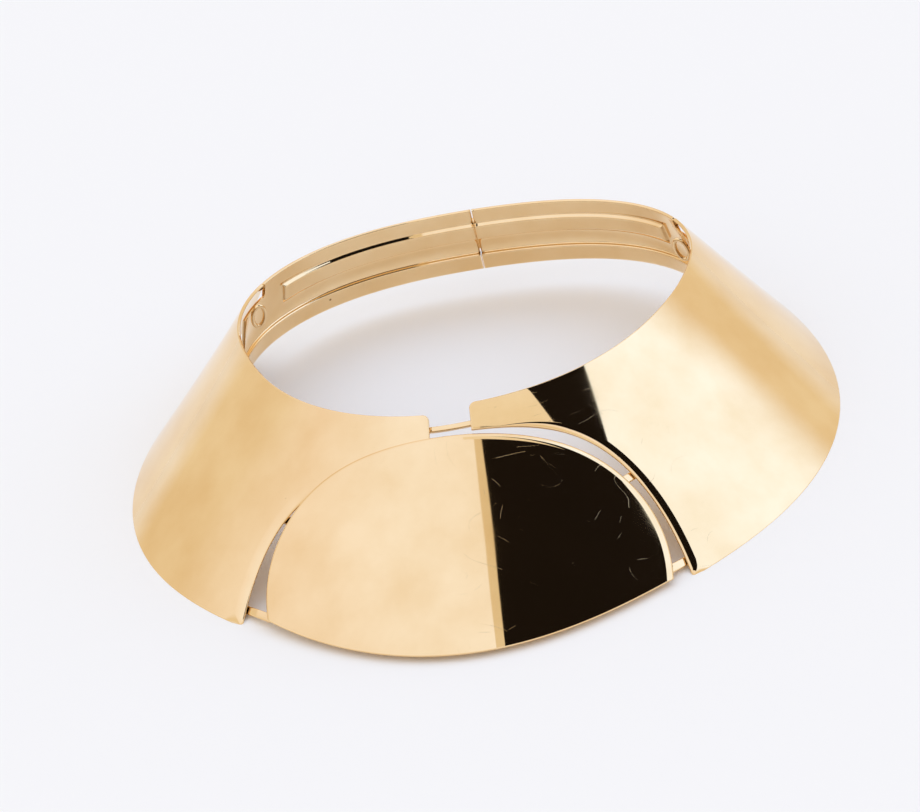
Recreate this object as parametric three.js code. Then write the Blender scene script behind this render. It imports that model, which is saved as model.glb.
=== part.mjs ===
// A rigid collar necklace of polished, gold-plated sheet: two side panels that sweep down from the neck
// to a wide hem, a half-moon front plate between them, link bars behind the gaps, and a narrow rear band
// in two halves with a plain clasp. Millimetres, +Z up, the front towards -Y, resting on its hem.
// Angles are degrees round the neck: 0 at the front, growing towards +X.
import * as THREE from 'three';

// The rim is the neck edge, the hem the outer edge. Each is an oval whose radius is swelled by a few
// harmonics of the angle, given as shares of the radius, so that the front is flatter than the sides.
const rimHalfWidth = 65;
const rimHalfDepth = 60;
const rimSwell = { 2: 0.025, 3: 0.05, 4: -0.008 };
const rimHeight = 35;
const rimSlope = 0.06;
const hemHalfWidth = 92;
const hemHalfDepth = 115;
const hemSwell = { 2: -0.035, 3: -0.03, 4: 0.024, 5: 0.01 };
const hemForward = 7;

// Sheet metal, and the clearance that parts keep where they are fixed to each other.
const sheetThickness = 1;
const clearance = 0.3;

// The panels have settled unevenly on their links: one rim stands this much above the mean, one below.
const panelSettle = 1;
const rimGapHalfAngle = 4.4;
const rimCornerRadius = 1.6;
const panelRearAngle = 118;
const rearCornerWidth = 14;
const rearCornerHeight = 16;

// The arch that the side panels leave open for the front plate. Drop is its top's distance from the rim,
// along the slant.
const archHalfAngle = 39.9;
const archTurn = -1.4;
const archDrop = { left: 15, right: 7.2 };
const archFullness = { left: 2.7, right: 2.5 };

// The front plate: an oval in angle and slant, cut off along the hem. Middle is where it is widest, up
// the slant from the hem. It stands proud enough to clear the lower of the two panels, which its upper
// left edge passes over.
const plateHalfAngle = 36.8;
const plateTurn = -0.6;
const plateMiddle = { left: 16.7, right: 13.4 };
const plateDrop = 7.4;
const plateHemInset = { left: 4.2, right: 2.2 };
const plateRise = sheetThickness + clearance - 0.4 * panelSettle;

// Link bars: the top one's drop from the rim, the upper pair's height as a share of the plate's, the lower
// pair's place up the slant, then the bars' own sizes.
const topLinkDrop = 4.6;
const topLinkHeight = 1.5;
const topLinkDepth = 1.5;
const upperLinkReach = 0.555;
const lowerLinkPlace = 5.2;
const sideLinkHeight = 2.2;
const sideLinkDepth = 1.2;
const linkGrip = 5;
const linkStep = 4;

// The rear band stands steeper than the panels, and a tongue of it runs on forwards inside each of them.
// Its inner face carries two raised rails.
const bandHeight = 23.6;
const bandLean = 15;
const bandJointGap = 0.4;
const tongueAngle = panelRearAngle - 13;
const tongueDrop = 4.6;
const railDepth = 1.1;
const railEdge = 0.6;
const upperRail = { top: 5.5, bottom: 10.3, start: panelRearAngle + 8 };
const lowerRail = { top: 17, bottom: 22.4, start: tongueAngle + railEdge };

// The oval loop on each tongue, turned to stand off it, and the clasp behind the neck.
const loopAngle = panelRearAngle - 9;
const loopDrop = 4.8;
const loopTurn = 55;
const loopWidth = 4.8;
const loopHeight = 7.8;
const loopWire = 1.2;
const claspWidth = 16;
const claspHeight = 11;
const claspDrop = 5.5;
const claspDepth = 2.4;

// Facets along and across the sheets.
const archColumns = 30;
const sideColumns = 20;
const sheetRows = 14;
const plateColumns = 36;
const bandColumns = 18;
const tongueColumns = 4;
const barColumns = 6;
const cornerShares = [0, 0.12, 0.4];
const plateCornerSharpness = 4;

const gold = { color: 0xe9c27e, metalness: 1, roughness: 0.12 };

const smallStep = 1e-3;
const radians = THREE.MathUtils.degToRad;
const lerp = THREE.MathUtils.lerp;
const smoothstep = THREE.MathUtils.smoothstep;

// Plan shape of the rim or hem: an oval with its radius swelled by the harmonics.
function planPoint(halfWidth, halfDepth, swell, forward, angle) {
  const turn = radians(angle);
  let radius = 1;
  for (const [harmonic, share] of Object.entries(swell)) {
    radius += share * Math.cos(harmonic * turn);
  }
  return new THREE.Vector3(
    halfWidth * radius * Math.sin(turn),
    -halfDepth * radius * Math.cos(turn) - forward,
    0,
  );
}

function hemPoint(angle) {
  return planPoint(hemHalfWidth, hemHalfDepth, hemSwell, hemForward, angle);
}

// The rim lies in a plane that falls towards the rear. Settle lifts or lowers it for one panel.
function rimPoint(angle, settle) {
  const point = planPoint(rimHalfWidth, rimHalfDepth, rimSwell, 0, angle);
  point.z = rimHeight - rimSlope * point.y + settle;
  return point;
}

// The collar's surface is ruled: a straight line from hem to rim at each angle. Share runs from 0 at
// the hem to 1 at the rim.
function collarPoint(angle, share, settle) {
  return hemPoint(angle).lerp(rimPoint(angle, settle), share);
}

function slantLength(angle) {
  return hemPoint(angle).distanceTo(rimPoint(angle, 0));
}

const frontSlant = slantLength(0);
const upperLinkPlace = upperLinkReach * (frontSlant - plateDrop);
const archTopShare = {
  left: 1 - archDrop.left / frontSlant,
  right: 1 - archDrop.right / frontSlant,
};

// Outward direction of any surface given as a function of two parameters.
function surfaceNormal(pointAt, u, v) {
  const along = pointAt(u + smallStep, v).sub(pointAt(u - smallStep, v));
  const across = pointAt(u, v + smallStep).sub(pointAt(u, v - smallStep));
  return along.cross(across).normalize();
}

// Millimetres along the hem or rim, as an angle near the given one.
function angleOf(length, angle, edgePoint) {
  return (length * smallStep) / edgePoint(angle + smallStep).distanceTo(edgePoint(angle));
}

// A closed solid from a grid of places (angle, share): the outer sheet of points, the inner sheet below
// them, and a strip round the edge. Columns run with the angle, rows from hem to rim.
function sheetSolid(columns, rows, outerAt, innerAt) {
  const positions = [];
  const triangles = [];
  const width = rows + 1;
  const innerStart = (columns + 1) * width;
  for (const pointAt of [outerAt, innerAt]) {
    for (let i = 0; i <= columns; i += 1) {
      for (let j = 0; j <= rows; j += 1) {
        positions.push(...pointAt(i, j).toArray());
      }
    }
  }
  const quad = (a, b, c, d) => triangles.push(a, b, c, a, c, d);
  for (let i = 0; i < columns; i += 1) {
    for (let j = 0; j < rows; j += 1) {
      const a = i * width + j;
      const b = a + width;
      quad(a, b, b + 1, a + 1);
      quad(innerStart + a, innerStart + a + 1, innerStart + b + 1, innerStart + b);
    }
  }
  const edge = [];
  for (let i = 0; i < columns; i += 1) edge.push(i * width);
  for (let j = 0; j < rows; j += 1) edge.push(columns * width + j);
  for (let i = columns; i > 0; i -= 1) edge.push(i * width + rows);
  for (let j = rows; j > 0; j -= 1) edge.push(j);
  edge.forEach((a, k) => {
    const b = edge[(k + 1) % edge.length];
    quad(a, innerStart + a, innerStart + b, b);
  });
  const geometry = new THREE.BufferGeometry();
  geometry.setAttribute('position', new THREE.Float32BufferAttribute(positions, 3));
  geometry.setIndex(triangles);
  geometry.computeVertexNormals();
  return geometry;
}

// A sheet of even thickness over the grid, standing a given rise off the surface. Whatever would reach
// below the ground is drawn back up the slant, so that the hem is level underneath.
function sheetOnSurface(columns, rows, pointAt, placeAt, rise, thickness) {
  const offsetPoint = (i, j, offset) => {
    const { angle, share } = placeAt(i, j);
    const normal = surfaceNormal(pointAt, angle, share);
    const point = pointAt(angle, share).addScaledVector(normal, offset);
    const uphill = pointAt(angle, share + smallStep).sub(pointAt(angle, share - smallStep));
    return point.addScaledVector(uphill, Math.max(0, -point.z / uphill.z));
  };
  return sheetSolid(
    columns,
    rows,
    (i, j) => offsetPoint(i, j, rise),
    (i, j) => offsetPoint(i, j, rise - thickness),
  );
}

// Share of the slant where the arch's edge lies, for an angle from the arch's middle.
function archShare(angle, side) {
  const reach = Math.min(Math.abs(angle) / archHalfAngle, 1);
  const fullness = archFullness[side];
  return archTopShare[side] * (1 - reach ** fullness) ** (1 / fullness);
}

// A quarter round from 0 at the start of a corner to 1 at its end.
function quarterRound(progress) {
  const x = THREE.MathUtils.clamp(progress, 0, 1);
  return 1 - Math.sqrt(1 - x * x);
}

// Column angles of a panel, counted from the front gap: over the rounded rim corner, over the arch with
// steps that close up where its edge is steep, and then along the hem to the rear end.
function panelAngles(side, turn) {
  const corner = angleOf(rimCornerRadius, 0, (angle) => rimPoint(angle, 0));
  const angles = cornerShares.map((share) => rimGapHalfAngle + share * corner);
  const start = rimGapHalfAngle + corner;
  const fullness = archFullness[side];
  const reachStart = (start - turn) / archHalfAngle;
  const steepStart = Math.acos(reachStart ** (fullness / 2));
  for (let i = 0; i <= archColumns; i += 1) {
    const steep = steepStart * (1 - i / archColumns);
    angles.push(turn + archHalfAngle * Math.cos(steep) ** (2 / fullness));
  }
  const hemStart = turn + archHalfAngle;
  for (let i = 1; i <= sideColumns; i += 1) {
    angles.push(lerp(hemStart, panelRearAngle, Math.sin((i / sideColumns) * (Math.PI / 2))));
  }
  return { angles, corner };
}

function sidePanel(side) {
  const sign = side === 'right' ? 1 : -1;
  const turn = archTurn * sign;
  const { angles, corner } = panelAngles(side, turn);
  const rearCorner = angleOf(rearCornerWidth, panelRearAngle, hemPoint);
  const rearSlant = slantLength(panelRearAngle);
  const places = angles.map((angle) => {
    const rear = (angle - panelRearAngle + rearCorner) / rearCorner;
    const front = (rimGapHalfAngle + corner - angle) / corner;
    return {
      angle: sign * angle,
      low: archShare(angle - turn, side) + (rearCornerHeight / rearSlant) * quarterRound(rear),
      high: 1 - (rimCornerRadius / frontSlant) * quarterRound(front),
    };
  });
  if (sign < 0) places.reverse();
  return sheetOnSurface(
    places.length - 1,
    sheetRows,
    (angle, share) => collarPoint(angle, share, sign * panelSettle),
    (i, j) => ({
      angle: places[i].angle,
      share: lerp(places[i].low, places[i].high, j / sheetRows),
    }),
    0,
    sheetThickness,
  );
}

// The plate's oval: column i at an even turn round it, from the left tip to the right tip.
function frontPlate() {
  const top = 1 - plateDrop / frontSlant;
  return sheetOnSurface(
    plateColumns,
    sheetRows,
    (angle, share) => collarPoint(angle, share, 0),
    (i, j) => {
      const turn = Math.PI * (i / plateColumns - 0.5);
      const middle = plateMiddle[turn < 0 ? 'left' : 'right'] / frontSlant;
      const leftCorner = Math.max(0, -Math.sin(turn)) ** plateCornerSharpness;
      const low = lerp(plateHemInset.right, plateHemInset.left, leftCorner) / frontSlant;
      const high = middle + (top - middle) * Math.cos(turn);
      const share = lerp(low, high, j / sheetRows);
      const below = Math.max(0, (middle - share) / (top - middle));
      const tuck = Math.sqrt(1 - below * below);
      return { angle: plateTurn + plateHalfAngle * Math.sin(turn) * tuck, share };
    },
    plateRise,
    sheetThickness,
  );
}

// A bar behind the sheets. Each end gives its angle, the angle where its step towards the other end
// begins, the panel's settle there and the rise of the sheet that the bar is seated under.
function linkBar(start, end, place, height, depth) {
  const share = place / frontSlant;
  const halfShare = height / 2 / frontSlant;
  const angles = [start.angle];
  for (let i = 0; i <= barColumns; i += 1) angles.push(lerp(start.step, end.step, i / barColumns));
  angles.push(end.angle);
  const blend = (angle) => smoothstep(angle, start.step, end.step);
  const pointAt = (angle, at) => collarPoint(angle, at, lerp(start.settle, end.settle, blend(angle)));
  const offsetPoint = (i, j, drop) => {
    const at = share + (2 * j - 1) * halfShare;
    const rise = lerp(start.rise, end.rise, blend(angles[i])) - sheetThickness - clearance - drop;
    return pointAt(angles[i], at).addScaledVector(surfaceNormal(pointAt, angles[i], at), rise);
  };
  return sheetSolid(
    angles.length - 1,
    1,
    (i, j) => offsetPoint(i, j, 0),
    (i, j) => offsetPoint(i, j, depth),
  );
}

function topLink() {
  const grip = angleOf(linkGrip, 0, (angle) => rimPoint(angle, 0));
  const panelEnd = (sign) => ({
    angle: sign * (rimGapHalfAngle + grip),
    step: sign * rimGapHalfAngle,
    settle: sign * panelSettle,
    rise: 0,
  });
  const place = frontSlant - topLinkDrop;
  return linkBar(panelEnd(-1), panelEnd(1), place, topLinkHeight, topLinkDepth);
}

// Half angle of the arch at a share of the slant.
function archEdgeAngle(share, side) {
  const fullness = archFullness[side];
  const rise = share / archTopShare[side];
  return archHalfAngle * (1 - rise ** fullness) ** (1 / fullness);
}

// A bar from under a panel's edge to under the plate's. It steps up to the plate inside the arch.
function sideLink(side, place) {
  const sign = side === 'right' ? 1 : -1;
  const share = place / frontSlant;
  const pointAt = (angle) => collarPoint(angle, share, 0);
  const edge = archTurn + sign * archEdgeAngle(share, side);
  const grip = sign * angleOf(linkGrip, edge, pointAt);
  const step = sign * angleOf(linkStep, edge, pointAt);
  const panelEnd = { angle: edge + grip, step: edge, settle: sign * panelSettle, rise: 0 };
  const plateEnd = { angle: edge - step - grip, step: edge - step, settle: 0, rise: plateRise };
  const [start, end] = sign > 0 ? [plateEnd, panelEnd] : [panelEnd, plateEnd];
  return linkBar(start, end, place, sideLinkHeight, sideLinkDepth);
}

// The rear band's outer face: down from the rim, leaning out. Its rim takes up the panel's settle at the
// joint and has none at the middle of the back. Drop is in millimetres below the rim.
function bandPoint(angle, drop, sign) {
  const jointShare = (180 - Math.abs(angle)) / (180 - panelRearAngle);
  const rimAt = (at) => rimPoint(at, sign * panelSettle * jointShare);
  const along = rimAt(angle + smallStep).sub(rimAt(angle - smallStep));
  const outward = new THREE.Vector3(along.y, -along.x, 0).normalize();
  return rimAt(angle)
    .addScaledVector(outward, drop * Math.sin(radians(bandLean)))
    .add(new THREE.Vector3(0, 0, -drop * Math.cos(radians(bandLean))));
}

function railHeightAt(rail, angle, drop) {
  const inside = Math.abs(angle) >= rail.start && drop >= rail.top && drop <= rail.bottom;
  return inside ? railDepth : 0;
}

// Rows of the rear band from its lower edge to the rim, with a row at each edge of each rail.
function bandDrops() {
  const drops = [0];
  for (const rail of [upperRail, lowerRail]) {
    drops.push(rail.top - railEdge, rail.top, rail.bottom, rail.bottom + railEdge);
  }
  drops.push(bandHeight);
  return drops.reverse();
}

// Column angles of a rear band: over the tongue, up to the rim behind the joint, and on to the middle of
// the back.
const jointGap = angleOf(bandJointGap, panelRearAngle, (angle) => rimPoint(angle, 0));
const bandStart = panelRearAngle + jointGap;

function bandAngles() {
  const tongueEnd = bandStart - jointGap / 4;
  const angles = [tongueAngle];
  for (let i = 0; i <= tongueColumns; i += 1) {
    angles.push(lerp(lowerRail.start, tongueEnd, i / tongueColumns));
  }
  angles.push(bandStart, upperRail.start - railEdge);
  for (let i = 0; i <= bandColumns; i += 1) {
    angles.push(lerp(upperRail.start, 180 - jointGap / 2, i / bandColumns));
  }
  return angles;
}

function rearBand(side) {
  const sign = side === 'right' ? 1 : -1;
  const angles = bandAngles();
  if (sign < 0) angles.reverse();
  const drops = bandDrops();
  const pointAt = (angle, height) => bandPoint(angle, -height, sign);
  const offsetPoint = (i, j, depth) => {
    const angle = sign * angles[i];
    const drop = angles[i] < bandStart ? Math.max(drops[j], tongueDrop) : drops[j];
    const normal = surfaceNormal(pointAt, angle, -drop);
    return pointAt(angle, -drop).addScaledVector(normal, -depth);
  };
  const thicknessAt = (i, j) => {
    const rails = [upperRail, lowerRail].map((rail) => railHeightAt(rail, angles[i], drops[j]));
    return sheetThickness + Math.max(...rails);
  };
  return sheetSolid(
    angles.length - 1,
    drops.length - 1,
    (i, j) => offsetPoint(i, j, 0),
    (i, j) => offsetPoint(i, j, thicknessAt(i, j)),
  );
}

function ovalShape(width, height) {
  const shape = new THREE.Shape();
  shape.absellipse(0, 0, width / 2, height / 2, 0, Math.PI * 2);
  return shape;
}

// The loop is made flat, turned about its own upright, and set with its near side just off the band.
function rearLoop(side) {
  const sign = side === 'right' ? 1 : -1;
  const shape = ovalShape(loopWidth, loopHeight);
  shape.holes.push(ovalShape(loopWidth - 2 * loopWire, loopHeight - 2 * loopWire));
  const geometry = new THREE.ExtrudeGeometry(shape, {
    depth: loopWire,
    bevelEnabled: false,
    curveSegments: 10,
  });
  geometry.translate(0, 0, -loopWire / 2);
  geometry.rotateY(sign * radians(loopTurn));
  geometry.computeBoundingBox();
  const pointAt = (angle, height) => bandPoint(angle, -height, sign);
  const place = pointAt(sign * loopAngle, -loopDrop);
  const outward = surfaceNormal(pointAt, sign * loopAngle, -loopDrop);
  const along = pointAt(sign * loopAngle + smallStep, -loopDrop).sub(place).normalize();
  const up = new THREE.Vector3().crossVectors(outward, along);
  const mesh = new THREE.Mesh(geometry);
  mesh.setRotationFromMatrix(new THREE.Matrix4().makeBasis(along, up, outward));
  const standOff = sheetThickness + clearance + geometry.boundingBox.max.z;
  mesh.position.copy(place).addScaledVector(outward, -standOff);
  return mesh;
}

// The clasp is a plain curved slip over the outside of both band ends.
function clasp() {
  const halfAngle = angleOf(claspWidth / 2, 180, (angle) => bandPoint(angle, claspDrop, 0));
  const pointAt = (angle, height) => bandPoint(angle, -height, 0);
  const offsetPoint = (i, j, offset) => {
    const angle = 180 + lerp(-halfAngle, halfAngle, i / barColumns);
    const height = -claspDrop - claspHeight * (1 - j);
    return pointAt(angle, height).addScaledVector(surfaceNormal(pointAt, angle, height), offset);
  };
  return sheetSolid(
    barColumns,
    1,
    (i, j) => offsetPoint(i, j, clearance + claspDepth),
    (i, j) => offsetPoint(i, j, clearance),
  );
}

function goldMesh(name, piece) {
  const mesh = piece.isMesh ? piece : new THREE.Mesh(piece);
  mesh.name = name;
  mesh.material = new THREE.MeshStandardMaterial(gold);
  return mesh;
}

// The collar stands centred over the middle of its outline.
const collar = new THREE.Group();
for (const side of ['left', 'right']) {
  collar.add(goldMesh(`${side}_panel`, sidePanel(side)));
  collar.add(goldMesh(`upper_link_${side}`, sideLink(side, upperLinkPlace)));
  collar.add(goldMesh(`lower_link_${side}`, sideLink(side, lowerLinkPlace)));
  collar.add(goldMesh(`rear_band_${side}`, rearBand(side)));
  collar.add(goldMesh(`rear_loop_${side}`, rearLoop(side)));
}
collar.add(goldMesh('front_plate', frontPlate()));
collar.add(goldMesh('top_link', topLink()));
collar.add(goldMesh('clasp', clasp()));

const box = new THREE.Box3().setFromObject(collar);
const middle = box.getCenter(new THREE.Vector3());
collar.position.set(-middle.x, -middle.y, 0);

export default collar;
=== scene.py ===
import bpy
import numpy as np
from mathutils import Matrix


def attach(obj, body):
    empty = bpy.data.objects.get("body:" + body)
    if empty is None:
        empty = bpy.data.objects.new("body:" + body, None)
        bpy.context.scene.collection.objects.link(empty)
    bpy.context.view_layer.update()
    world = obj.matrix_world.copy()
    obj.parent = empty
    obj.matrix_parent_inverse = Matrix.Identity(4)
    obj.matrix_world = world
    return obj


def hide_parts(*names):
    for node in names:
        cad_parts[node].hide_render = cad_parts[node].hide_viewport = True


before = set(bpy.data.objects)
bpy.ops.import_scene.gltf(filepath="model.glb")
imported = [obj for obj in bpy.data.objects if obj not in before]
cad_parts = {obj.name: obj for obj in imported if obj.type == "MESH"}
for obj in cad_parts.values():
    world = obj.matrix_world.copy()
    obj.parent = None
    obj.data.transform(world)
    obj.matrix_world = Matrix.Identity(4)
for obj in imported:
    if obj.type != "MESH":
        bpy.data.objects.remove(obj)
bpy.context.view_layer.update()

# The collar is made in millimetres about the axis of its rim oval, and is then moved so that the middle
# of its outline stands over the origin. An angle is in degrees round that axis: 0 at the front, growing
# towards +X. A share runs up the slant of the sheet, from 0 at the hem to 1 at the rim.

# Side panels: two rigid panels of 1 mm brass sheet, pressed to the flared form and cut to a quarter arch
# at the front, where the edge is rolled over. They are polished to a mirror and gold plated.
METRES = 0.001
OUTLINE_MIDDLE = np.array([-0.0169, 26.131, 0.0])
RIM = dict(half_width=65, half_depth=60, swell={2: 0.025, 3: 0.05, 4: -0.008}, forward=0)
HEM = dict(half_width=92, half_depth=115, swell={2: -0.035, 3: -0.03, 4: 0.024, 5: 0.01}, forward=7)
RIM_HEIGHT = 35
RIM_SLOPE = 0.06
SHEET = 1.0
CLEARANCE = 0.3
PANEL_SETTLE = 1.0
PANEL_GAP = 4.4
PANEL_REAR = 118.0
RIM_CORNER = 1.6
REAR_CORNER = (14.0, 16.0)
ARCH_HALF = 39.9
ARCH_TURN = -1.4
ARCH_DROP = {"left": 15, "right": 7.2}
ARCH_FULLNESS = {"left": 2.7, "right": 2.5}
ARRIS = 0.28
ROUND_STEP = 11.25
LAND = 0.9
LAND_ROWS = (0.4, 0.6)
ROLL_ROWS = np.array([0.6, 0.3, 0.1])
UNDER_ROUND = 0.8
SLIDE_REACH = 5
PANEL_ROLL = {"left": (3.2, 0.8), "right": (2.5, 0.82)}
ROLL_BEGINS = 10.0
ROLL_FULL = 24.0
ROLL_RUN_OUT = 3.0
CORNER_COLUMNS = 9
ARCH_COLUMNS = 96
HEM_COLUMNS = 60
HEM_CROWDING = 1.6
REAR_COLUMNS = 17
PANEL_ROWS = 19
GOLD_PALE = "#F8DAAA"
GOLD_DEEP = "#EFCB95"
TARNISH = "#8A6230"
HAIR_LAYERS = (((0.3, 0.8, 0.2), (30, 37, 24), 130), ((1.1, 0.2, 1.9), (26, 62, 34), 210))
HAIR_SPACING = 0.04
HAIR_WIDTH = 0.0004
HAIR_DULLNESS = 0.11
PANEL_WEAR = 0.4


def plan_oval(angle, half_width, half_depth, swell, forward):
    """Plan of the rim or hem: an oval, its radius swelled by a few harmonics of the angle."""
    turn = np.radians(angle)
    radius = 1 + sum(part * np.cos(harmonic * turn) for harmonic, part in swell.items())
    x = half_width * radius * np.sin(turn)
    y = -half_depth * radius * np.cos(turn) - forward
    return np.stack([x, y, np.zeros_like(x)], -1)


def rim_line(angle, settle):
    """The rim: its plan lifted to a plane that falls towards the rear, plus the panel's settle."""
    line = plan_oval(angle, **RIM)
    line[..., 2] = RIM_HEIGHT - RIM_SLOPE * line[..., 1] + settle
    return line


def collar_surface(angle, share, settle=0.0):
    """The collar's ruled surface: straight from the hem to the rim at each angle."""
    share = np.asarray(share, float)[..., None]
    return plan_oval(angle, **HEM) * (1 - share) + rim_line(angle, settle) * share


def surface_frame(surface, u, v):
    """Changes of a surface per unit of its two parameters, and its outward normal, by small steps."""
    step = 1e-3
    along = (surface(u + step, v) - surface(u - step, v)) / (2 * step)
    across = (surface(u, v + step) - surface(u, v - step)) / (2 * step)
    normal = np.cross(along, across)
    return along, across, normal / np.linalg.norm(normal, axis=-1, keepdims=True)


def unit(vectors):
    """The same directions, each of length one."""
    return vectors / np.linalg.norm(vectors, axis=-1, keepdims=True)


def edge_insets(surface, loop, distances, corners):
    """The loop moved inwards over the surface, each side of it straight in by its own distance in
    millimetres. A corner goes to where its two moved sides meet, and the points beside it slide along
    with it, less and less over SLIDE_REACH times as far as it slid."""
    u, v = loop.T
    along, across, normal = surface_frame(surface, u, v)
    gaps = np.roll(surface(u, v), -1, 0) - surface(u, v)
    lengths = np.linalg.norm(gaps, axis=-1)
    ahead = gaps / lengths[:, None]
    behind = np.roll(ahead, 1, 0)
    inward = unit(np.cross(normal, ahead))
    before = np.roll(inward, 1, 0)
    far, near = distances[:, None], np.roll(distances, 1)[:, None]
    meet = (inward * before).sum(-1, keepdims=True)
    move = (inward + before) * (far + near) / 2 / (1 + meet)
    bend = np.maximum(1 - meet**2, 1e-6)
    corner = (inward * (far - near * meet) + before * (near - far * meet)) / bend
    move[corners] = corner[corners]
    for start, end in zip(corners, [*corners[1:], corners[0] + len(loop)]):
        run = np.arange(start, end) % len(loop)
        travelled = np.append(0, np.cumsum(lengths[run]))
        first = corner[start] @ ahead[start]
        last = corner[end % len(loop)] @ behind[end % len(loop)]
        left_to_go = travelled[-1] - travelled
        slide = first * np.maximum(0, 1 - travelled / (SLIDE_REACH * abs(first) + 1e-9))
        slide += last * np.maximum(0, 1 - left_to_go / (SLIDE_REACH * abs(last) + 1e-9))
        move[run[1:]] += unit(ahead + behind)[run[1:]] * slide[1:-1, None]
    basis = np.stack([along, across], -1)
    grip = np.einsum("nki,nkj->nij", basis, basis)
    pull = np.einsum("nki,nk->ni", basis, move)
    return loop + np.linalg.solve(grip, pull[..., None])[..., 0]


def patch(bottom, right, top, left):
    """Fills four sides with a grid: the blend of bottom and top, plus that of left and right, less
    the blend of the four corners."""
    s = np.linspace(0, 1, len(bottom))[:, None, None]
    t = np.linspace(0, 1, len(left))[None, :, None]
    sides = bottom[:, None] * (1 - t) + top[:, None] * t + left[None] * (1 - s) + right[None] * s
    corners = (bottom[0] * (1 - s) + bottom[-1] * s) * (1 - t) + (top[0] * (1 - s) + top[-1] * s) * t
    return sides - corners


def round_loop(sides):
    """Bottom, right, top and left as one closed loop, anticlockwise seen from outside."""
    bottom, right, top, left = sides
    return np.concatenate([bottom[:-1], right[:-1], top[::-1][:-1], left[::-1][:-1]])


def back_to_sides(loop, columns, rows):
    """The closed loop cut into bottom, right, top and left again."""
    ring = np.concatenate([loop, loop[:1]])
    a, b, c = columns - 1, columns + rows - 2, 2 * columns + rows - 3
    return ring[: a + 1], ring[a : b + 1], ring[b : c + 1][::-1], ring[c:][::-1]


def edge_profile(roll_width, roll_drop, thickness):
    """Section over a sheet's edge: rows of distance in from it, depth below the outer face, and lean of
    the surface from 0 facing out to 180 facing in. First for a plain edge with two small quarter rounds,
    then for one whose outer side is rolled to a quarter oval."""
    turn = np.radians(np.arange(0, 90 + ROUND_STEP, ROUND_STEP))
    out, back, lean = 1 - np.sin(turn), 1 - np.cos(turn), np.degrees(turn)
    plain_in = [LAND, *LAND_ROWS[::-1], *(ARRIS * out), 0, *(ARRIS * out)[::-1], *LAND_ROWS, LAND]
    plain_deep = [0, 0, 0, *(ARRIS * back), thickness / 2, *(thickness - ARRIS * back)[::-1]]
    plain_lean = [0, 0, 0, *lean, 90, *(180 - lean)[::-1], 180, 180, 180]
    under = min(thickness - roll_drop, ARRIS) * UNDER_ROUND
    roll_in = [*(roll_width + ROLL_ROWS), *(roll_width * out), 0]
    roll_in += [*(under * out)[::-1], *LAND_ROWS, roll_width + ROLL_ROWS[0]]
    middle = (roll_drop + thickness - under) / 2
    roll_deep = [0, 0, 0, *(roll_drop * back), middle, *(thickness - under * back)[::-1]]
    oval_lean = np.degrees(np.arctan2(np.sin(turn) * roll_drop, np.cos(turn) * roll_width))
    roll_lean = [0, 0, 0, *oval_lean, 90, *(180 - lean)[::-1], 180, 180, 180]
    plain = np.array([plain_in, plain_deep + [thickness] * 3, plain_lean])
    return plain, np.array([roll_in, roll_deep + [thickness] * 3, roll_lean])


def sheet_body(surface, sides, roll, rise=0.0, thickness=SHEET):
    """Closed sheet over four sides: a filled grid for the outer face, rings over the edge, and a filled
    grid for the inner face. A side's points are angle, share, how far the edge takes the rolled section,
    and whether it is a corner. What would reach below the ground is drawn back up the slant. Gives the
    points, their faces and the direction that each point faces."""
    columns, rows = len(sides[0]), len(sides[3])
    u, v, rolled, corner = round_loop(sides).T
    loop = np.stack([u, v], -1)
    corners = np.flatnonzero(corner == 1)
    side_roll = np.minimum(rolled, np.roll(rolled, -1))
    plain, round_edge = edge_profile(*roll, thickness)
    insets = plain[0, :, None] + side_roll * (round_edge[0] - plain[0])[:, None]
    depths = plain[1, :, None] + rolled * (round_edge[1] - plain[1])[:, None]
    leans = np.radians(plain[2, :, None] + rolled * (round_edge[2] - plain[2])[:, None])
    rings = [edge_insets(surface, loop, inset, corners) for inset in insets]
    outer = patch(*back_to_sides(rings[0], columns, rows)).reshape(-1, 2)
    inner = patch(*back_to_sides(rings[-1], columns, rows)).reshape(-1, 2)
    u, v = np.concatenate([outer, *rings[1:-1], inner]).T
    depth = np.concatenate([np.zeros(len(outer)), depths[1:-1].ravel(), np.full(len(inner), thickness)])
    lean = np.concatenate([np.zeros(len(outer)), leans[1:-1].ravel(), np.full(len(inner), np.pi)])[:, None]
    across, normal = surface_frame(surface, u, v)[1:]
    points = surface(u, v) + normal * (rise - depth)[:, None]
    points += across * np.maximum(0, -points[:, 2:] / across[:, 2:])
    edge_points = surface(*loop.T)
    inward = unit(np.cross(surface_frame(surface, *loop.T)[2], np.roll(edge_points, -1, 0) - edge_points))
    outward = -unit(inward + np.roll(inward, 1, 0))
    edge_ways = [outward] * (len(rings) - 2)
    sideways = np.concatenate([np.zeros((len(outer), 3)), *edge_ways, np.zeros((len(inner), 3))])
    facing = unit(normal * np.cos(lean) + sideways * np.sin(lean))
    grid = np.arange(len(outer)).reshape(columns, rows)
    edge = round_loop((grid[:, 0], grid[-1], grid[:, -1], grid[0]))
    inner_start = len(points) - len(inner)
    loops = [edge, *[len(outer) + k * len(loop) + np.arange(len(loop)) for k in range(len(rings) - 2)]]
    loops.append(edge + inner_start)
    quads = [grid_quads(grid), grid_quads(grid + inner_start)[:, ::-1]]
    for high, low in zip(loops, loops[1:]):
        quads.append(np.stack([high, low, np.roll(low, -1), np.roll(high, -1)], -1))
    return points, np.concatenate(quads), facing


def grid_quads(grid):
    """The four corners of each cell of a grid of vertex numbers."""
    a, b, c, d = grid[:-1, :-1], grid[1:, :-1], grid[1:, 1:], grid[:-1, 1:]
    return np.stack([a, b, c, d], -1).reshape(-1, 4)


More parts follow.
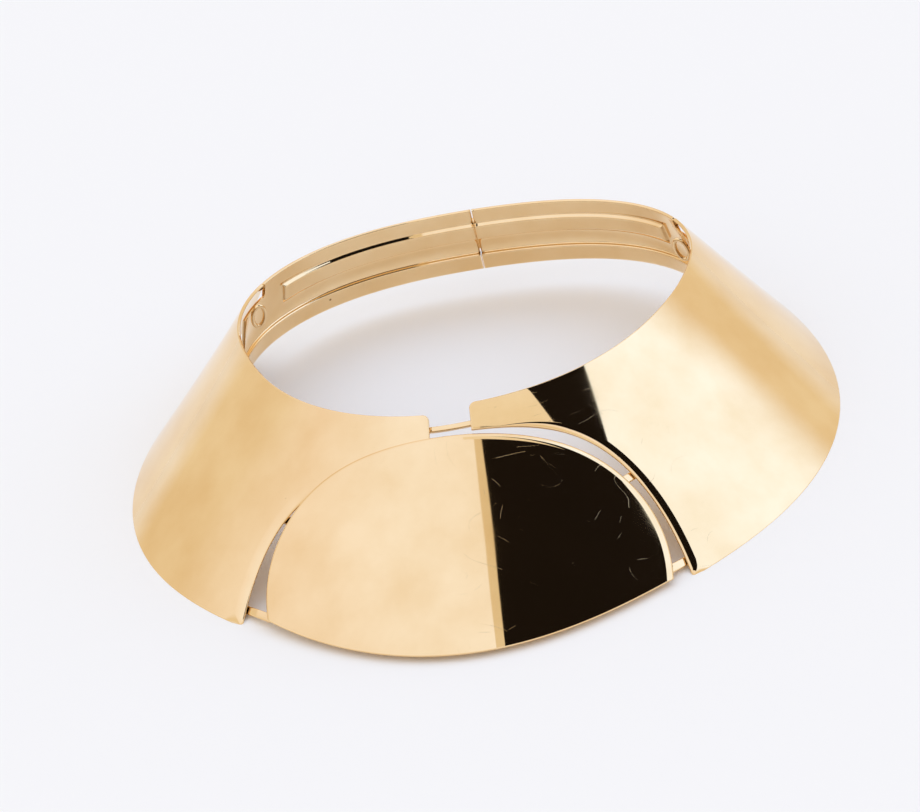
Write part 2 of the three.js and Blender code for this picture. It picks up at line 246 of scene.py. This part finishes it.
def make_piece(name, node, material, points, faces, facing=None):
    """A smooth mesh object in metres that rides on the body and stands for its CAD node. Facing gives the
    direction each point faces, where it is known better than from the faces about it."""
    mesh = bpy.data.meshes.new(name)
    placed = (points + OUTLINE_MIDDLE) * METRES
    mesh.from_pydata(placed.tolist(), [], faces if isinstance(faces, list) else faces.tolist())
    mesh.validate()
    mesh.shade_smooth()
    if facing is not None:
        mesh.normals_split_custom_set_from_vertices(facing.tolist())
    mesh.materials.append(material)
    piece = bpy.data.objects.new(name, mesh)
    bpy.context.scene.collection.objects.link(piece)
    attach(piece, "root")
    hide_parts(node)


def linear(hex_colour):
    """An sRGB hex colour as linear red, green, blue and alpha."""
    value = np.array([int(hex_colour[k : k + 2], 16) for k in (1, 3, 5)]) / 255
    light = np.where(value <= 0.04045, value / 12.92, ((value + 0.055) / 1.055) ** 2.4)
    return (*light.tolist(), 1.0)


def add_node(tree, kind, links=(), **settings):
    """Adds a node to the tree. Settings are sockets by name, or the node's own options, and each link
    is (socket of this node, node it comes from, socket of that node)."""
    node = tree.nodes.new(kind)
    for key, value in settings.items():
        if hasattr(node, key):
            setattr(node, key, value)
        else:
            node.inputs[key.replace("_", " ")].default_value = value
    for socket, source, output in links:
        tree.links.new(source.outputs[output], node.inputs[socket])
    return node


def remap(tree, source, output, span, result):
    """A node that takes the source's output from one span of values to another, clamped at its ends."""
    node = add_node(tree, "ShaderNodeMapRange", [("Value", source, output)])
    for socket, value in zip(("From Min", "From Max", "To Min", "To Max"), (*span, *result)):
        node.inputs[socket].default_value = value
    return node


def polished_gold(name, wear):
    """Gold plate on brass, wheel-polished to a mirror and worn. Its scratches are level lines of soft
    noise, cut up by coarser noise. Wear, from 0 to 1, is how much of them is left."""
    material = bpy.data.materials.new(name)
    material.use_nodes = True
    tree = material.node_tree
    metal = tree.nodes["Principled BSDF"]
    metal.inputs["Metallic"].default_value = 1.0
    place = add_node(tree, "ShaderNodeTexCoord")
    # Hairlines from wear, a few hundredths of a millimetre wide: long arcs, and shorter straighter ones.
    hairs = None
    for turn, scale, broken in HAIR_LAYERS:
        links = [("Vector", place, "Object")]
        laid = add_node(tree, "ShaderNodeMapping", links, Rotation=turn, Scale=scale)
        field = add_node(tree, "ShaderNodeTexNoise", [("Vector", laid, "Vector")], Scale=1.0, Detail=1.0)
        level = add_node(tree, "ShaderNodeMath", [(0, field, "Fac")], operation="PINGPONG")
        level.inputs[1].default_value = HAIR_SPACING
        line = remap(tree, level, "Value", (0.0, HAIR_WIDTH), (1.0, 0.0))
        part = add_node(tree, "ShaderNodeTexNoise", [("Vector", place, "Object")], Scale=broken, Detail=0.0)
        kept = remap(tree, part, "Fac", (0.56, 0.66), (0.0, wear))
        links = [(0, line, "Result"), (1, kept, "Result")]
        hair = add_node(tree, "ShaderNodeMath", links, operation="MULTIPLY")
        if hairs:
            links = [(0, hairs, "Value"), (1, hair, "Value")]
            hair = add_node(tree, "ShaderNodeMath", links, operation="MAXIMUM")
        hairs = hair
    # Tarnish spots under 1 mm across, few and far apart.
    cells = add_node(tree, "ShaderNodeTexVoronoi", [("Vector", place, "Object")], Scale=95.0)
    spot = remap(tree, cells, "Distance", (0.02, 0.045), (1.0, 0.0))
    rare = add_node(tree, "ShaderNodeTexNoise", [("Vector", place, "Object")], Scale=60.0, Detail=0.0)
    few = remap(tree, rare, "Fac", (0.6, 0.64), (0.0, 1.0))
    links = [(0, spot, "Result"), (1, few, "Result")]
    tarnish = add_node(tree, "ShaderNodeMath", links, operation="MULTIPLY")
    # The plating's colour drifts a little, in clouds of 15 to 30 mm, and the gloss with it.
    clouds = add_node(tree, "ShaderNodeTexNoise", [("Vector", place, "Object")], Scale=55.0, Detail=4.0)
    drift = remap(tree, clouds, "Fac", (0.3, 0.7), (0.0, 1.0))
    plating = add_node(tree, "ShaderNodeMix", [(0, drift, "Result")], data_type="RGBA")
    plating.inputs[6].default_value = linear(GOLD_PALE)
    plating.inputs[7].default_value = linear(GOLD_DEEP)
    colour = add_node(tree, "ShaderNodeMix", [(0, tarnish, "Value"), (6, plating, 2)], data_type="RGBA")
    colour.inputs[7].default_value = linear(TARNISH)
    tree.links.new(colour.outputs[2], metal.inputs["Base Color"])
    haze = remap(tree, clouds, "Fac", (0.35, 0.75), (0.02, 0.05))
    links = [(0, hairs, "Value"), (2, haze, "Result")]
    gloss = add_node(tree, "ShaderNodeMath", links, operation="MULTIPLY_ADD")
    gloss.inputs[1].default_value = HAIR_DULLNESS
    tree.links.new(gloss.outputs["Value"], metal.inputs["Roughness"])
    # The sheet's own unevenness, waves of 25 mm and some ten microns high, and the scratches' grooves.
    wave = add_node(tree, "ShaderNodeTexNoise", [("Vector", place, "Object")], Scale=40.0, Detail=1.0)
    swell = add_node(tree, "ShaderNodeBump", [("Height", wave, "Fac")], Strength=0.05, Distance=0.0005)
    groove = add_node(
        tree,
        "ShaderNodeBump",
        [("Height", hairs, "Value"), ("Normal", swell, "Normal")],
        Strength=0.3,
        Distance=0.00002,
        invert=True,
    )
    tree.links.new(groove.outputs["Normal"], metal.inputs["Normal"])
    return material


panel_gold = polished_gold("polished gold plate", PANEL_WEAR)
slant = float(np.linalg.norm(collar_surface(0.0, 0.0) - collar_surface(0.0, 1.0)))
rear_slant = float(np.linalg.norm(collar_surface(PANEL_REAR, 0.0) - collar_surface(PANEL_REAR, 1.0)))


def degrees_of(length, angle, share):
    """A length in millimetres along the sheet, as degrees round the axis at that place."""
    return length / np.linalg.norm(collar_surface(angle + 0.5, share) - collar_surface(angle - 0.5, share))


def panel_sides(side):
    """Outline of a panel as bottom (arch, hem, rear corner), right, top (rim) and left (gap edge)."""
    sign = 1 if side == "right" else -1
    turn = ARCH_TURN * sign
    full = ARCH_FULLNESS[side]
    top_share = 1 - ARCH_DROP[side] / slant
    corner = degrees_of(RIM_CORNER, 0.0, 1.0)
    round_off = np.radians(np.linspace(0, 90, CORNER_COLUMNS))
    corner_angles = PANEL_GAP + corner * (1 - np.cos(round_off))
    first = np.arccos(((corner_angles[-1] - turn) / ARCH_HALF) ** (full / 2))
    arch_turns = np.linspace(first, 0, ARCH_COLUMNS)[1:]
    arch_angles = turn + ARCH_HALF * np.cos(arch_turns) ** (2 / full)
    rear = degrees_of(REAR_CORNER[0], PANEL_REAR, 0.0)
    step = np.linspace(0, 1, HEM_COLUMNS)[1:] ** HEM_CROWDING
    hem_angles = arch_angles[-1] + (PANEL_REAR - rear - arch_angles[-1]) * step
    rear_turns = np.radians(np.linspace(0, 90, REAR_COLUMNS))[1:]
    rear_angles = PANEL_REAR - rear + rear * np.sin(rear_turns)
    angles = np.concatenate([corner_angles, arch_angles, hem_angles, rear_angles])
    reach = np.clip((angles - turn) / ARCH_HALF, 0, 1)
    low = top_share * (1 - reach**full) ** (1 / full)
    low[-len(rear_turns) :] = REAR_CORNER[1] / rear_slant * (1 - np.cos(rear_turns))
    high = np.ones_like(angles)
    high[: len(round_off)] -= RIM_CORNER / slant * (1 - np.sin(round_off))
    arch_end = len(corner_angles) + len(arch_angles) - 1
    rolled = np.clip((angles - ROLL_BEGINS) / (ROLL_FULL - ROLL_BEGINS), 0, 1)
    past = (angles[arch_end:] - angles[arch_end]) / degrees_of(ROLL_RUN_OUT, angles[arch_end], 0.0)
    rolled[arch_end:] = np.clip(1 - past, 0, 1)
    corners = np.zeros_like(angles)
    corners[[0, arch_end]] = 1
    bottom = np.stack([angles, low, rolled, corners], -1)
    even = np.linspace(corner_angles[-1], PANEL_REAR, len(angles) - len(corner_angles) + 1)[1:]
    rim_angles = np.append(corner_angles, (angles[len(corner_angles) :] + even) / 2)
    top = np.stack([rim_angles, high, angles * 0, angles * 0], -1)
    top[-1, 3] = 1
    rise = np.linspace(0, 1, PANEL_ROWS)[:, None]
    left = bottom[0] + (top[0] - bottom[0]) * rise
    right = bottom[-1] + (top[-1] - bottom[-1]) * rise
    if side == "right":
        return bottom, right, top, left
    mirror = np.array([-1, 1, 1, 1])
    return tuple(part * mirror for part in (bottom[::-1], left, top[::-1], right))


for side in ("left", "right"):
    settle = PANEL_SETTLE if side == "right" else -PANEL_SETTLE
    body = sheet_body(lambda u, v: collar_surface(u, v, settle), panel_sides(side), PANEL_ROLL[side])
    make_piece(f"{side}_panel_sheet", f"{side}_panel", panel_gold, *body)

# Front plate: a half-moon of the same sheet, cut along the hem and set in the arch a little proud of the
# panels, so that its upper left edge passes over the left one. Its curved edge is rolled like theirs.
PLATE_HALF = 36.8
PLATE_TURN = -0.6
PLATE_MIDDLE = {"left": 16.7, "right": 13.4}
PLATE_DROP = 7.4
PLATE_HEM = {"left": 4.2, "right": 2.2}
PLATE_CORNER_SHARPNESS = 4
SETTLE_INWARD = 0.4
PLATE_RISE = SHEET + CLEARANCE - SETTLE_INWARD * PANEL_SETTLE
PLATE_ROLL = (2.0, 0.65)
PLATE_ROLL_LEAST = 0.25
PLATE_ROLL_SPAN = (-0.9, 0.3)
PLATE_COLUMNS = 141
PLATE_ROWS = 25
PLATE_WEAR = 0.8


def plate_sides():
    """Outline of the plate: an oval in angle and share whose top is at an even turn round it, tucked in
    below its widest place and cut off along the hem."""
    turn = np.radians(np.linspace(-90, 90, PLATE_COLUMNS))
    middle = np.where(turn < 0, PLATE_MIDDLE["left"], PLATE_MIDDLE["right"]) / slant
    peak = 1 - PLATE_DROP / slant
    left_corner = np.maximum(0, -np.sin(turn)) ** PLATE_CORNER_SHARPNESS
    low = (PLATE_HEM["right"] + (PLATE_HEM["left"] - PLATE_HEM["right"]) * left_corner) / slant
    high = middle + (peak - middle) * np.cos(turn)

    def outline(turn, share, middle):
        below = np.maximum(0, (middle - share) / (peak - middle))
        return PLATE_TURN + PLATE_HALF * np.sin(turn) * np.sqrt(1 - below**2)

    begins, full = PLATE_ROLL_SPAN
    over = np.clip((np.sin(turn) - begins) / (full - begins), 0, 1)
    top_rolled = PLATE_ROLL_LEAST + (1 - PLATE_ROLL_LEAST) * over
    none = np.zeros_like(turn)
    bottom = np.stack([outline(turn, low, middle), low, none, none], -1)
    top = np.stack([outline(turn, high, middle), high, top_rolled, none], -1)
    bottom[[0, -1], 3] = 1
    ends = []
    for k in (0, -1):
        share = np.linspace(low[k], high[k], PLATE_ROWS)
        angle = outline(turn[k], share, middle[k])
        rolled = np.full_like(share, top_rolled[k])
        ends.append(np.stack([angle, share, rolled, none[:PLATE_ROWS]], -1))
        ends[-1][0, 3] = 1
        bottom[k, 2] = top_rolled[k]
    return bottom, ends[1], top, ends[0]


plate_gold = polished_gold("polished gold plate, scratched", PLATE_WEAR)
plate = sheet_body(collar_surface, plate_sides(), PLATE_ROLL, PLATE_RISE)
make_piece("front_plate_sheet", "front_plate", plate_gold, *plate)

# Link bars: five short lengths of brass rod behind the gaps. One joins the panels just under the rim, and
# two on each side join panel and plate. Each is filed to a soft section and soldered under the sheets.
TOP_LINK = dict(height=1.4, depth=1.4)
TOP_LINK_DROPS = (3.6, 5.0)
UPPER_LINK_REACH = 0.555
LOWER_LINK = 5.2
SIDE_LINK = dict(height=2.2, depth=1.2)
LINK_GRIP = 5.0
LINK_STEP = 4.0
BAR_SQUARENESS = 0.35
BAR_TIP = (0.35, 0.7, 0.92, 1.0)
BAR_TIP_PLACES = np.array([0, 0.004, 0.012, 0.03])
BAR_ROWS = 33
BAR_SECTION_STEP = 15
BAR_EASE = 0.3
LINK_WEAR = 0.15


def swept_bar(centre, upward, outward, height, depth):
    """A closed bar: a soft-cornered oval section, height by depth, carried along the centre line, its
    ends drawn in to a small flat over the last few rows."""
    turn = np.radians(np.arange(0, 360, BAR_SECTION_STEP))
    across, through = (np.sign(f(turn)) * np.abs(f(turn)) ** BAR_SQUARENESS for f in (np.cos, np.sin))
    drawn = np.ones(len(centre))
    drawn[: len(BAR_TIP)] = BAR_TIP
    drawn[-len(BAR_TIP) :] = BAR_TIP[::-1]
    section = upward[:, None] * across[:, None] * height / 2
    section = section + outward[:, None] * through[:, None] * depth / 2
    points = centre[:, None] + section * drawn[:, None, None]
    grid = np.arange(points.shape[0] * len(turn)).reshape(points.shape[:2])
    ring = np.concatenate([grid, grid[:, :1]], 1)
    faces = grid_quads(ring).tolist() + [grid[0].tolist(), grid[-1][::-1].tolist()]
    return points.reshape(-1, 3), faces


def link_bar(start, end, shares, height, depth):
    """A bar behind the sheets, from one share of the slant to another. Each end is (angle, angle where its
    step begins, settle, rise of the sheet above it), and the middle goes smoothly from one to the other."""
    reach = end[0] - start[0]
    middle = np.linspace(start[0], end[0], BAR_ROWS)[2:-2]
    tips = start[0] + BAR_TIP_PLACES * reach, end[0] - BAR_TIP_PLACES[::-1] * reach
    angle = np.concatenate([tips[0], middle, tips[1]])
    part = np.clip((angle - start[1]) / (end[1] - start[1]), 0, 1)
    part += BAR_EASE * part * (1 - part) * (2 * part - 1)
    share = shares[0] + (shares[1] - shares[0]) * part
    settle = start[2] + (end[2] - start[2]) * part
    rise = start[3] + (end[3] - start[3]) * part - SHEET - CLEARANCE - depth / 2

    def surface(u, v):
        return collar_surface(u, v, settle)

    along, _, outward = surface_frame(surface, angle, share)
    centre = surface(angle, share) + outward * rise[:, None]
    return swept_bar(centre, unit(np.cross(outward, along)), outward, height, depth)


link_gold = polished_gold("polished gold plate, sheltered", LINK_WEAR)
grip = degrees_of(LINK_GRIP, 0.0, 1.0)
top_bar = link_bar(
    (-PANEL_GAP - grip, -PANEL_GAP, -PANEL_SETTLE, 0.0),
    (PANEL_GAP + grip, PANEL_GAP, PANEL_SETTLE, 0.0),
    [1 - drop / slant for drop in TOP_LINK_DROPS],
    **TOP_LINK,
)
make_piece("top_link_bar", "top_link", link_gold, *top_bar)
for side in ("left", "right"):
    sign = 1 if side == "right" else -1
    for level, place in (("upper", UPPER_LINK_REACH * (slant - PLATE_DROP)), ("lower", LOWER_LINK)):
        share = place / slant
        climb = share / (1 - ARCH_DROP[side] / slant)
        full = ARCH_FULLNESS[side]
        edge = ARCH_TURN + sign * ARCH_HALF * (1 - climb**full) ** (1 / full)
        grip = sign * degrees_of(LINK_GRIP, edge, share)
        step = sign * degrees_of(LINK_STEP, edge, share)
        panel_end = (edge + grip, edge, sign * PANEL_SETTLE, 0.0)
        plate_end = (edge - step - grip, edge - step, 0.0, PLATE_RISE)
        ends = (plate_end, panel_end) if sign > 0 else (panel_end, plate_end)
        bar = link_bar(*ends, (share, share), **SIDE_LINK)
        make_piece(f"{level}_link_{side}_bar", f"{level}_link_{side}", link_gold, *bar)

# Rear band: the narrow band that closes the collar at the back, pressed from the same sheet in two
# halves, stands steeper than the panels. Two flat rails are raised on its inner face, and a tongue runs
# on inside each panel.
BAND_HEIGHT = 23.6
BAND_LEAN = 15.0
BAND_GAP = 0.4
TONGUE_START = PANEL_REAR - 13
TONGUE_DROP = 4.6
RAIL_DEPTH = 1.1
RAIL_EDGE = 0.6
SHOULDER = (-0.12, 0.06)
TOP_ROW = 0.3
ROW_STEP = 0.005
UPPER_RAIL = (5.5, 10.3, PANEL_REAR + 8)
LOWER_RAIL = (17.0, 22.4, TONGUE_START + RAIL_EDGE)
BAND_COLUMNS = (8, 14, 8, 5, 60)
RAIL_ROWS = (6, 5, 6)


def band_surface(sign):
    """The band's outer face as a function of angle and height below the rim (negative): down from the
    rim and out by the lean. The rim takes the panel's settle at the joint and none at the back."""

    def surface(angle, height):
        def rim(at):
            settle = sign * PANEL_SETTLE * (180 - np.abs(angle)) / (180 - PANEL_REAR)
            return rim_line(at, settle)

        along = rim(angle + 1e-3) - rim(angle - 1e-3)
        outward = unit(np.stack([along[..., 1], -along[..., 0], 0 * along[..., 0]], -1))
        lean = np.radians(BAND_LEAN)
        down = np.array([0, 0, 1.0]) * np.cos(lean) - outward * np.sin(lean)
        return rim(angle) + down * np.asarray(height)[..., None]

    return surface


def smooth(value, low, high):
    """Rises from 0 to 1 between low and high, level at both ends."""
    part = np.clip((value - low) / (high - low), 0, 1)
    return part * part * (3 - 2 * part)


def rear_half(side):
    """Half of the rear band: its section, the same drops on the outer and the inner face, carried from
    the tongue to the middle of the back. The inner face steps out over each rail. Rows that the tongue's
    lower top would pass are stacked just below it."""
    sign = 1 if side == "right" else -1
    gap = degrees_of(BAND_GAP, PANEL_REAR, 1.0)
    joint = PANEL_REAR + gap
    rail_start = UPPER_RAIL[2]
    tongue, under, beside, rise, back = BAND_COLUMNS
    columns = [
        np.linspace(TONGUE_START, LOWER_RAIL[2] + RAIL_EDGE, tongue),
        np.linspace(TONGUE_START + 2, joint - 0.3, under),
        joint + np.array([SHOULDER[0], 0, SHOULDER[1], 0.14, 0.3]),
        np.linspace(joint + 0.8, rail_start - 2 * RAIL_EDGE, beside),
        np.linspace(rail_start - RAIL_EDGE, rail_start, rise),
        np.linspace(rail_start + 1, 180 - gap / 2, back),
    ]
    angle = np.concatenate(columns)[:, None]
    turn = np.radians([90, 60, 30, 0])
    arc_in, arc_deep = ARRIS * (1 - np.sin(turn)), ARRIS * (1 - np.cos(turn))
    inner_drops = [np.linspace(1, UPPER_RAIL[0] - 1, 4)]
    for top, bottom, _ in (UPPER_RAIL, LOWER_RAIL):
        inner_drops.append(np.linspace(top - RAIL_EDGE, top, RAIL_ROWS[0]))
        inner_drops.append(np.linspace(top + RAIL_EDGE, bottom - RAIL_EDGE, RAIL_ROWS[1]))
        inner_drops.append(np.linspace(bottom, bottom + RAIL_EDGE, RAIL_ROWS[2]))
    middle = np.sort(np.concatenate(inner_drops))[None]
    top = TONGUE_DROP * (1 - smooth(angle, joint + SHOULDER[0], joint + SHOULDER[1]))
    stacked = top + TOP_ROW + ROW_STEP * np.arange(middle.size)
    bottom_rows = BAND_HEIGHT - arc_in[::-1] + 0 * angle
    drop = np.concatenate([top + arc_in, np.maximum(middle, stacked), bottom_rows], 1)
    round_off = np.concatenate([arc_deep, 0 * middle[0], arc_deep[::-1]])[None]
    rail = 0
    for high, low, start in (UPPER_RAIL, LOWER_RAIL):
        across = smooth(drop, high - RAIL_EDGE, high) * (1 - smooth(drop, low, low + RAIL_EDGE))
        rail = np.maximum(rail, across * smooth(angle, start - RAIL_EDGE, start))
    at = sign * (angle + 0 * drop)
    surface = band_surface(sign)
    normal = surface_frame(surface, at, -drop)[2]
    outer = surface(at, -drop) - normal * (round_off + 0 * drop)[..., None]
    inner = surface(at, -drop) - normal * (SHEET - round_off + RAIL_DEPTH * rail)[..., None]
    points = np.concatenate([outer, inner[:, ::-1]], 1)[::sign]
    grid = np.arange(points.shape[0] * points.shape[1]).reshape(points.shape[:2])
    ring = np.concatenate([grid, grid[:, :1]], 1)
    half = points.shape[1] // 2
    start_cap = np.stack([grid[0, :half], grid[0, half:][::-1]])
    end_cap = np.stack([grid[-1, half:][::-1], grid[-1, :half]])
    quads = np.concatenate([grid_quads(ring), grid_quads(start_cap), grid_quads(end_cap)])
    return points.reshape(-1, 3), quads[:, ::-1]


for side in ("left", "right"):
    make_piece(f"rear_band_{side}_sheet", f"rear_band_{side}", link_gold, *rear_half(side))

# Rear loops: a small oval of brass wire on each tongue, turned to stand off it and soldered by its near
# side before the plating.
LOOP_ANGLE = PANEL_REAR - 9
LOOP_DROP = 4.8
LOOP_TURN = 55.0
LOOP_SIZE = (4.8, 7.8)
LOOP_WIRE = 1.2
LOOP_STAND_OFF = 0.35
LOOP_STEP = 6
WIRE_STEP = 24


def wire_loop(side):
    """A round wire carried round an oval, turned about its upright and stood off the band."""
    sign = 1 if side == "right" else -1
    around = np.radians(np.arange(0, 360, LOOP_STEP))[:, None]
    section = np.radians(np.arange(0, 360, WIRE_STEP))[None]
    wide, tall = ((size - LOOP_WIRE) / 2 for size in LOOP_SIZE)
    out = unit(np.stack([np.cos(around) * tall, np.sin(around) * wide], -1))
    reach = LOOP_WIRE / 2 * np.cos(section)[..., None]
    flat = np.stack([wide * np.cos(around), tall * np.sin(around)], -1) + out * reach
    level = LOOP_WIRE / 2 * np.sin(section) + 0 * around
    turn = sign * np.radians(LOOP_TURN)
    x = flat[..., 0] * np.cos(turn) + level * np.sin(turn)
    z = level * np.cos(turn) - flat[..., 0] * np.sin(turn)
    surface = band_surface(sign)
    angle, height = np.array(sign * LOOP_ANGLE), np.array(-LOOP_DROP)
    along, _, outward = surface_frame(surface, angle, height)
    reach_in = LOOP_SIZE[0] / 2 * np.sin(np.radians(LOOP_TURN))
    stand_off = SHEET + CLEARANCE + reach_in + LOOP_STAND_OFF
    upward = np.cross(outward, unit(along))
    points = surface(angle, height) + x[..., None] * unit(along) + flat[..., 1:] * upward
    points = points + (z - stand_off)[..., None] * outward
    grid = np.arange(points.shape[0] * points.shape[1]).reshape(points.shape[:2])
    ring = np.concatenate([grid, grid[:1]])
    ring = np.concatenate([ring, ring[:, :1]], 1)
    return points.reshape(-1, 3), grid_quads(ring)[:, ::-1]


for side in ("left", "right"):
    make_piece(f"rear_loop_{side}_wire", f"rear_loop_{side}", link_gold, *wire_loop(side))

# Clasp: a plain slip of thicker brass over the outside of both band ends, its edges softly rounded, cast
# and plated like the rest.
CLASP_SIZE = (16.0, 11.0, 2.4)
CLASP_DROP = 5.5
CLASP_ROLL = (1.2, 0.9)
CLASP_COLUMNS = 33
CLASP_ROWS = 21
half = CLASP_SIZE[0] / 2 / np.linalg.norm(rim_line(np.array(180.5), 0.0) - rim_line(np.array(179.5), 0.0))
wide = np.linspace(180 - half, 180 + half, CLASP_COLUMNS)
tall = np.linspace(-CLASP_DROP - CLASP_SIZE[1], -CLASP_DROP, CLASP_ROWS)


def clasp_surface(angle, height):
    """The band's outer face at the middle of the back, where neither half is settled."""
    return band_surface(0)(angle, height)


def clasp_side(angle, height):
    """One side of the slip: rolled all along, and a corner at each end."""
    angle, height = np.broadcast_arrays(angle, height)
    corner = np.zeros(len(angle))
    corner[[0, -1]] = 1
    return np.column_stack([angle, height, np.ones(len(angle)), corner])


bottom, top = clasp_side(wide, tall[0]), clasp_side(wide, tall[-1])
left, right = clasp_side(wide[0], tall), clasp_side(wide[-1], tall)
slip = sheet_body(
    clasp_surface, (bottom, right, top, left), CLASP_ROLL, CLEARANCE + CLASP_SIZE[2], CLASP_SIZE[2]
)
make_piece("clasp_slip", "clasp", link_gold, *slip)

# Studio: a plain pale floor in a soft bright room with a broad lamp at the side. Flat cards above the
# front, seen in reflections only, give the polished sheet its dark and its pale parts.
CAMERA_TURN = 8.587
CAMERA_RISE = 30.948
CAMERA_ROLL = -12.14
CAMERA_AIM = (-0.00659, 0.02599, 0.00048)
FOCAL_PIXELS = 2600
IMAGE_WIDTH = 920
PIXELS_PER_MM = 3.573
SENSOR_WIDTH = 36
FLOOR_SIZE = 8
FLOOR_PAINT = "#F6F1E6"

scene = bpy.context.scene
scene.view_settings.view_transform = "Standard"
bpy.ops.mesh.primitive_plane_add(size=FLOOR_SIZE)
floor = bpy.context.object
floor.name = "floor"
floor_paint = bpy.data.materials.new("matt white paint")
floor_paint.use_nodes = True
shader = floor_paint.node_tree.nodes["Principled BSDF"]
shader.inputs["Base Color"].default_value = linear(FLOOR_PAINT)
shader.inputs["Roughness"].default_value = 0.9
floor.data.materials.append(floor_paint)


def card(name, outline, height, colour, strength):
    """A level card, seen in reflections only, that glows in one colour with the given strength."""
    mesh = bpy.data.meshes.new(name)
    corners = [(x, y, height) for x, y in outline]
    mesh.from_pydata(corners, [], [tuple(range(len(corners)))])
    material = bpy.data.materials.new(name)
    material.use_nodes = True
    material.node_tree.nodes.clear()
    glow = add_node(material.node_tree, "ShaderNodeEmission", Color=linear(colour), Strength=strength)
    add_node(material.node_tree, "ShaderNodeOutputMaterial", [("Surface", glow, "Emission")])
    mesh.materials.append(material)
    sheet = bpy.data.objects.new(name, mesh)
    scene.collection.objects.link(sheet)
    sheet.visible_camera = False
    sheet.visible_shadow = False
    sheet.visible_diffuse = False


# The dark card is what the right of the plate and the front of the right panel reflect. The edge card
# lies along its left edge, for the duller strip in the middle of the plate. The near card is a small pale
# one just above the rim, which the right panel's front corner reflects.
DARK_EDGE = [(0.10, -0.75), (0.066, -0.407), (0.062, -0.311), (0.050, -0.272), (-0.01, 0.08)]
DARK_FAR = [(0.88, 0.08), (0.79, -0.10), (0.82, -0.18), (0.87, -0.75)]
EDGE_FAR = [(-0.05, 0.08), (0.006, -0.272), (0.018, -0.407), (0.05, -0.75)]
CARD_HEIGHT = 1.0
NEAR_HEIGHT = 0.09
NEAR = [(0.0, -0.0572), (0.026, -0.0566), (0.0605, -0.0532), (0.041, -0.0445), (0.0, -0.035)]
card("dark_card", DARK_EDGE + DARK_FAR, CARD_HEIGHT, "#191513", 1.0)
card("edge_card", DARK_EDGE + EDGE_FAR, CARD_HEIGHT, "#EAE2D2", 1.0)
card("near_card", NEAR, NEAR_HEIGHT, "#FAFAFA", 1.0)

# The room by height, as the sine of the angle above the floor: a pale horizon, warm walls, and a bright,
# slightly cool ceiling. A broad soft lamp stands at the right. Each light is a colour and its strength.
ROOM = (
    (0.0, "#F3F6FF", 1.0),
    (0.06, "#F8F9FF", 0.98),
    (0.17, "#FFF6E3", 0.87),
    (0.42, "#FFF7E9", 0.88),
    (0.62, "#F5F5FF", 1.1),
    (0.9, "#E5ECFF", 1.33),
)
LAMP_TOWARDS = (0.732, 0.129, 0.669)
LAMP = ("#CADCFF", 1.9)
LAMP_EDGE = (0.80, 0.96)


def light_of(hex_colour, strength):
    """A colour as light of the given strength."""
    return (*(strength * np.array(linear(hex_colour)[:3])), 1.0)


world = bpy.data.worlds.new("studio")
world.use_nodes = True
room = world.node_tree
direction = add_node(room, "ShaderNodeTexCoord")
height = add_node(room, "ShaderNodeSeparateXYZ", [("Vector", direction, "Generated")])
walls = add_node(room, "ShaderNodeValToRGB", [("Fac", height, "Z")])
walls.color_ramp.elements[0].position = ROOM[0][0]
walls.color_ramp.elements[1].position = ROOM[-1][0]
for height_share, _, _ in ROOM[1:-1]:
    walls.color_ramp.elements.new(height_share)
for element, (_, colour, strength) in zip(walls.color_ramp.elements, ROOM):
    element.color = light_of(colour, strength)
towards = add_node(room, "ShaderNodeVectorMath", [(0, direction, "Generated")], operation="DOT_PRODUCT")
towards.inputs[1].default_value = LAMP_TOWARDS
glow = remap(room, towards, "Value", LAMP_EDGE, (0.0, 1.0))
glow.interpolation_type = "SMOOTHSTEP"
light = add_node(room, "ShaderNodeMix", [(0, glow, "Result"), (6, walls, "Color")], data_type="RGBA")
light.inputs[7].default_value = light_of(*LAMP)
room.links.new(light.outputs[2], room.nodes["Background"].inputs["Color"])
scene.world = world

turn, rise, roll = np.radians([CAMERA_TURN, CAMERA_RISE, CAMERA_ROLL])
back = np.array([np.sin(turn) * np.cos(rise), -np.cos(turn) * np.cos(rise), np.sin(rise)])
level = np.array([np.cos(turn), np.sin(turn), 0])
upright = np.cross(back, level)
rolled_level = level * np.cos(roll) + upright * np.sin(roll)
rolled_up = upright * np.cos(roll) - level * np.sin(roll)
distance = FOCAL_PIXELS / PIXELS_PER_MM * METRES
lens = bpy.data.cameras.new("camera")
lens.sensor_width = SENSOR_WIDTH
lens.lens = FOCAL_PIXELS * SENSOR_WIDTH / IMAGE_WIDTH
camera = bpy.data.objects.new("camera", lens)
scene.collection.objects.link(camera)
place = np.eye(4)
place[:3, :3] = np.stack([rolled_level, rolled_up, back], -1)
place[:3, 3] = np.array(CAMERA_AIM) + back * distance
camera.matrix_world = Matrix(place.tolist())
scene.camera = camera
